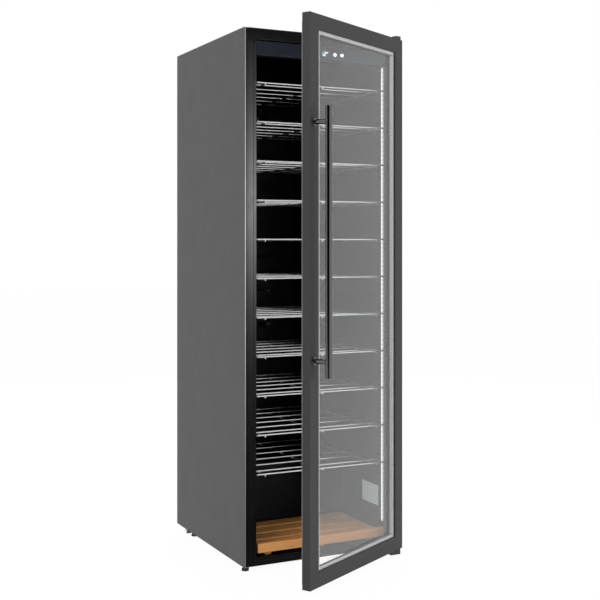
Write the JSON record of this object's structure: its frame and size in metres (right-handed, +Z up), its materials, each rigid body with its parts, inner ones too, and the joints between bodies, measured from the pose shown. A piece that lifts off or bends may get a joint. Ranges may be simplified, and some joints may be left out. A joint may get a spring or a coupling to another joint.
{
  "type": "wine cooler",
  "caption": "Tall free-standing wine cooler: steel cabinet with wire shelves and a beech tray, glass door on a right-hand hinge, bar handle, cooling unit at the back.",
  "frame": {"origin": "on the floor under the middle of the cabinet box, door left out", "axes": "+X to the viewer's right facing the door, +Y to the back, +Z up; the rest pose has the door part open"},
  "size_m": [0.6012, 1.0269, 1.851],
  "materials": {
    "painted_steel_dark": "satin",
    "coated_steel_black": "satin",
    "galvanised_steel": "satin",
    "door_aluminium": "satin",
    "bare_aluminium": "satin",
    "black_handle": "satin",
    "glass": "gloss",
    "liner_black": "satin",
    "trim_black": "satin",
    "control_black": "gloss",
    "display_smoke": "gloss",
    "board_green": "matte",
    "light_white": "satin",
    "chrome_wire": "polished",
    "beech": "satin",
    "foam": "matte",
    "nylon": "satin",
    "gasket_grey": "matte",
    "rubber_black": "matte"
  },
  "bodies": {
    "cabinet": {"side_panel_left": "painted_steel_dark", "side_panel_right": "painted_steel_dark", "top_panel": "painted_steel_dark", "back_panel": "galvanised_steel", "base_pan": "galvanised_steel", "foam_insulation": "foam", "inner_liner": "liner_black", "front_frame": "trim_black", "control_panel": "control_black", "display_window": "display_smoke", "control_board": "board_green", "led_strips": "light_white", "shelf_rails": "liner_black", "wire_shelf_01": "chrome_wire", "wire_shelf_02": "chrome_wire", "wire_shelf_03": "chrome_wire", "wire_shelf_04": "chrome_wire", "wire_shelf_05": "chrome_wire", "wire_shelf_06": "chrome_wire", "wire_shelf_07": "chrome_wire", "wire_shelf_08": "chrome_wire", "wire_shelf_09": "chrome_wire", "wire_shelf_10": "chrome_wire", "wire_shelf_11": "chrome_wire", "tray_front_rail": "beech", "tray_deck": "beech", "duct_cover": "liner_black", "evaporator": "bare_aluminium", "compressor": "coated_steel_black", "compressor_grommets": "rubber_black", "condenser": "bare_aluminium", "condenser_fan_housing": "nylon", "rear_vent_cover": "coated_steel_black", "mains_inlet": "trim_black", "top_hinge_bracket": "coated_steel_black", "top_hinge_cover": "trim_black", "bottom_hinge_bracket": "coated_steel_black", "roller_brackets": "galvanised_steel"},
    "door": {"door_stile_handle_side": "door_aluminium", "door_stile_hinge_side": "door_aluminium", "door_top_rail": "door_aluminium", "door_bottom_rail": "door_aluminium", "door_corner_keys": "nylon", "outer_glass": "glass", "inner_glass": "glass", "glazing_spacer": "bare_aluminium", "door_inner_frame": "trim_black", "door_gasket": "gasket_grey", "handle_bar": "black_handle", "handle_posts": "black_handle", "hinge_bushes": "nylon"},
    "foot_front_left": {"foot_front_left": "nylon"},
    "foot_front_right": {"foot_front_right": "nylon"},
    "foot_rear_left": {"foot_rear_left": "nylon"},
    "foot_rear_right": {"foot_rear_right": "nylon"},
    "roller_left": {"roller_left": "rubber_black"},
    "roller_right": {"roller_right": "rubber_black"},
    "circulation_fan": {"circulation_fan_rotor": "nylon"},
    "condenser_fan": {"condenser_fan_rotor": "nylon"}
  },
  "joints": [
    {"name": "door_hinge", "type": "hinge", "parent": "cabinet", "child": "door", "pos_m": [0.2845, -0.35, 0.93], "axis": [0, 0, 1], "range_deg": [-29, 86]},
    {"name": "foot_front_left_screw", "type": "hinge", "parent": "cabinet", "child": "foot_front_left", "pos_m": [-0.278, -0.288, 0.02], "axis": [0, 0, 1], "continuous": true},
    {"name": "foot_front_right_screw", "type": "hinge", "parent": "cabinet", "child": "foot_front_right", "pos_m": [0.278, -0.288, 0.02], "axis": [0, 0, 1], "continuous": true},
    {"name": "foot_rear_left_screw", "type": "hinge", "parent": "cabinet", "child": "foot_rear_left", "pos_m": [-0.275, 0.195, 0.02], "axis": [0, 0, 1], "continuous": true},
    {"name": "foot_rear_right_screw", "type": "hinge", "parent": "cabinet", "child": "foot_rear_right", "pos_m": [0.275, 0.195, 0.02], "axis": [0, 0, 1], "continuous": true},
    {"name": "roller_left_spin", "type": "hinge", "parent": "cabinet", "child": "roller_left", "pos_m": [-0.2805, 0.236, 0.013], "axis": [1, 0, 0], "continuous": true},
    {"name": "roller_right_spin", "type": "hinge", "parent": "cabinet", "child": "roller_right", "pos_m": [0.2805, 0.236, 0.013], "axis": [1, 0, 0], "continuous": true},
    {"name": "circulation_fan_spin", "type": "hinge", "parent": "cabinet", "child": "circulation_fan", "pos_m": [0, 0.242, 1.59], "axis": [0, 1, 0], "continuous": true},
    {"name": "condenser_fan_spin", "type": "hinge", "parent": "cabinet", "child": "condenser_fan", "pos_m": [0.019, 0.195, 0.1065], "axis": [1, 0, 0], "continuous": true}
  ]
}
